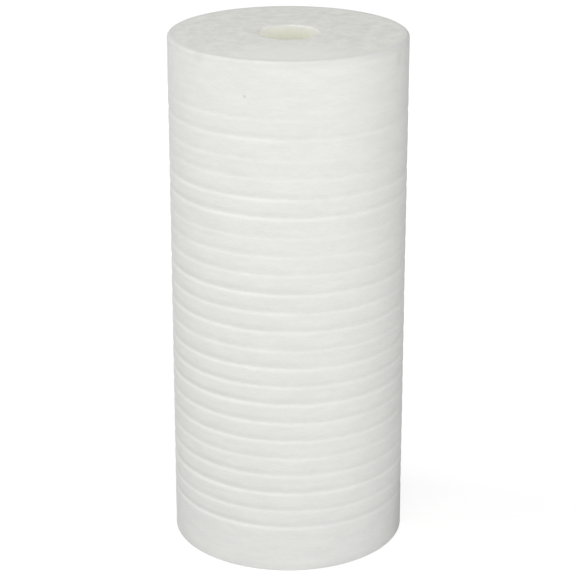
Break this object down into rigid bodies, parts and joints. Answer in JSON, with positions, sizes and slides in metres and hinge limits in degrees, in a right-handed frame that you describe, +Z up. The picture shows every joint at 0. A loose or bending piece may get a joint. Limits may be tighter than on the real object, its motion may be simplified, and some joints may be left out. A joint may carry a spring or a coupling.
{
  "type": "sediment filter cartridge",
  "caption": "Thick-walled white fibre tube with ring grooves round its side, plain bands at both ends, flat end faces and a straight central bore.",
  "frame": {"origin": "centre of the lower end face", "axes": "+Z up along the bore's axis, with the shorter plain band at the bottom; the form is the same all round, so X and Y are free"},
  "size_m": [0.1142, 0.1142, 0.254],
  "materials": {
    "melt_blown_fibre": "matte, white bonded polypropylene fibre with a fine felted grain"
  },
  "bodies": {
    "root": {"filter_cartridge": "melt_blown_fibre"}
  },
  "joints": []
}
